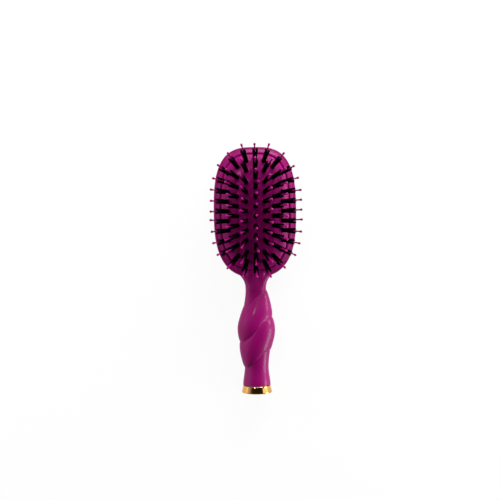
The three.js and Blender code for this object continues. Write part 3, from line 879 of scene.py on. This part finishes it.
FLOOR_HALF = 3.0
FLOOR_Z = -0.0002
FLOOR_PAINT = 0.95
FLOOR_WHITE_SHARE = 0.93
WHITE_STRENGTH = 1.0


def seen_by_eye(tree):
    """1 for rays from the camera and from mirror-like or clear surfaces, and 0 for the rest."""
    path = tree.nodes.new("ShaderNodeLightPath")
    seen = path.outputs["Is Camera Ray"]
    for ray in ("Is Glossy Ray", "Is Transmission Ray"):
        either = tree.nodes.new("ShaderNodeMath")
        either.operation = "MAXIMUM"
        tree.links.new(seen, either.inputs[0])
        tree.links.new(path.outputs[ray], either.inputs[1])
        seen = either.outputs["Value"]
    return seen


def white_floor():
    material = bpy.data.materials.new("white_floor")
    material.use_nodes = True
    tree = material.node_tree
    tree.nodes.remove(tree.nodes["Principled BSDF"])
    paint = tree.nodes.new("ShaderNodeBsdfDiffuse")
    paint.inputs["Color"].default_value = (FLOOR_PAINT, FLOOR_PAINT, FLOOR_PAINT, 1)
    glow = tree.nodes.new("ShaderNodeEmission")
    glow.inputs["Strength"].default_value = WHITE_STRENGTH
    share = tree.nodes.new("ShaderNodeMath")
    share.operation = "MULTIPLY"
    share.inputs[1].default_value = FLOOR_WHITE_SHARE
    mix = tree.nodes.new("ShaderNodeMixShader")
    tree.links.new(seen_by_eye(tree), share.inputs[0])
    tree.links.new(share.outputs["Value"], mix.inputs["Fac"])
    tree.links.new(paint.outputs["BSDF"], mix.inputs[1])
    tree.links.new(glow.outputs["Emission"], mix.inputs[2])
    tree.links.new(mix.outputs["Shader"], tree.nodes["Material Output"].inputs["Surface"])
    return material


def make_floor():
    corners = [(-1, -1), (1, -1), (1, 1), (-1, 1)]
    mesh = bpy.data.meshes.new("floor")
    mesh.from_pydata([(FLOOR_HALF * x, FLOOR_HALF * y, 0) for x, y in corners], [], [(0, 1, 2, 3)])
    mesh.materials.append(white_floor())
    floor = bpy.data.objects.new("floor", mesh)
    bpy.context.scene.collection.objects.link(floor)
    floor.location.z = FLOOR_Z


make_floor()


# Soft light from all round, under a dark ceiling, with a white horizon behind the floor.
# Each level is at a height from 0, the horizon, to 1, straight up.

SKY_LEVELS = [(0.0, 0.28), (0.45, 0.28), (0.6, 0.24), (0.72, 0.03), (1.0, 0.015)]
HORIZON_LEVELS = [(0.0, 1.0), (0.12, 1.0), (0.2, 0.28)] + SKY_LEVELS[1:]


def sky(tree, height, levels):
    ramp = tree.nodes.new("ShaderNodeValToRGB")
    stops = ramp.color_ramp.elements
    for position, _ in levels[1:-1]:
        stops.new(position)
    for stop, (position, level) in zip(stops, levels):
        stop.position = position
        stop.color = (level, level, level, 1)
    background = tree.nodes.new("ShaderNodeBackground")
    tree.links.new(height, ramp.inputs["Fac"])
    tree.links.new(ramp.outputs["Color"], background.inputs["Color"])
    return background.outputs["Background"]


def make_world():
    world = bpy.data.worlds.new("studio")
    bpy.context.scene.world = world
    world.use_nodes = True
    tree = world.node_tree
    tree.nodes.remove(tree.nodes["Background"])
    place = tree.nodes.new("ShaderNodeTexCoord")
    split = tree.nodes.new("ShaderNodeSeparateXYZ")
    mix = tree.nodes.new("ShaderNodeMixShader")
    tree.links.new(place.outputs["Generated"], split.inputs["Vector"])
    tree.links.new(seen_by_eye(tree), mix.inputs["Fac"])
    tree.links.new(sky(tree, split.outputs["Z"], SKY_LEVELS), mix.inputs[1])
    tree.links.new(sky(tree, split.outputs["Z"], HORIZON_LEVELS), mix.inputs[2])
    tree.links.new(mix.outputs["Shader"], tree.nodes["World Output"].inputs["Surface"])


make_world()


# Soft lamps. A lamp that isn't mirrored gives light but no highlight.

WATTS_PER_RADIANCE = 4
AIM_Z = 0.02


def soft_light(name, place, aim, width, height, radiance, mirrored=True):
    lamp = bpy.data.lights.new(name, "AREA")
    lamp.shape = "RECTANGLE"
    lamp.size = width
    lamp.size_y = height
    lamp.energy = WATTS_PER_RADIANCE * radiance * width * height
    obj = bpy.data.objects.new(name, lamp)
    bpy.context.scene.collection.objects.link(obj)
    obj.location = place
    towards = Vector((*aim, AIM_Z)) - Vector(place)
    obj.rotation_euler = towards.to_track_quat("-Z", "Y").to_euler()
    obj.visible_glossy = mirrored


soft_light("right_low", (0.7, -0.31, 0.14), (0, -0.31), width=0.42, height=0.27, radiance=10.5)
soft_light("right_gap", (0.7, -0.02, 0.31), (0, -0.02), width=0.16, height=0.6, radiance=1.0)
soft_light("right_high", (0.7, 0.2, 0.14), (0, 0.2), width=0.28, height=0.27, radiance=9.0)
soft_light("left_card", (-0.7, 0.06, 0.2), (0, 0), width=0.3, height=0.4, radiance=0.3)
soft_light("left_fill", (-0.75, 0.06, 0.26), (0, 0.06), width=0.8, height=0.45, radiance=3.2,
           mirrored=False)
soft_light("tip_light", (0.25, 0.74, 0.36), (0, -0.05), width=0.7, height=0.45, radiance=9.0)
soft_light("spark_light", (-0.32, 0.5, 0.7), (0, -0.1), width=0.05, height=0.15, radiance=50.0)


# The camera looks almost straight down, with a small turn in the picture plane

EYE = Vector((-30.5, -24.1, 825.7)) * MM
AIM = Vector((-4.96, -34.8, 12.5)) * MM
ROLL = -0.0101
FOCAL_PIXELS = 900.0
IMAGE_PIXELS = 500.0
SENSOR_WIDTH = 36.0

camera_data = bpy.data.cameras.new("camera")
camera_data.sensor_width = SENSOR_WIDTH
camera_data.lens = FOCAL_PIXELS / IMAGE_PIXELS * SENSOR_WIDTH
camera = bpy.data.objects.new("camera", camera_data)
bpy.context.scene.collection.objects.link(camera)
back = (EYE - AIM).normalized()
right = Vector((0, 1, 0)).cross(back).normalized()
upward = back.cross(right)
turned_right = math.cos(ROLL) * right + math.sin(ROLL) * upward
turned_up = math.cos(ROLL) * upward - math.sin(ROLL) * right
facing = Matrix((turned_right, turned_up, back)).transposed().to_4x4()
camera.matrix_world = Matrix.Translation(EYE) @ facing
bpy.context.scene.camera = camera
bpy.context.scene.view_settings.view_transform = "Standard"
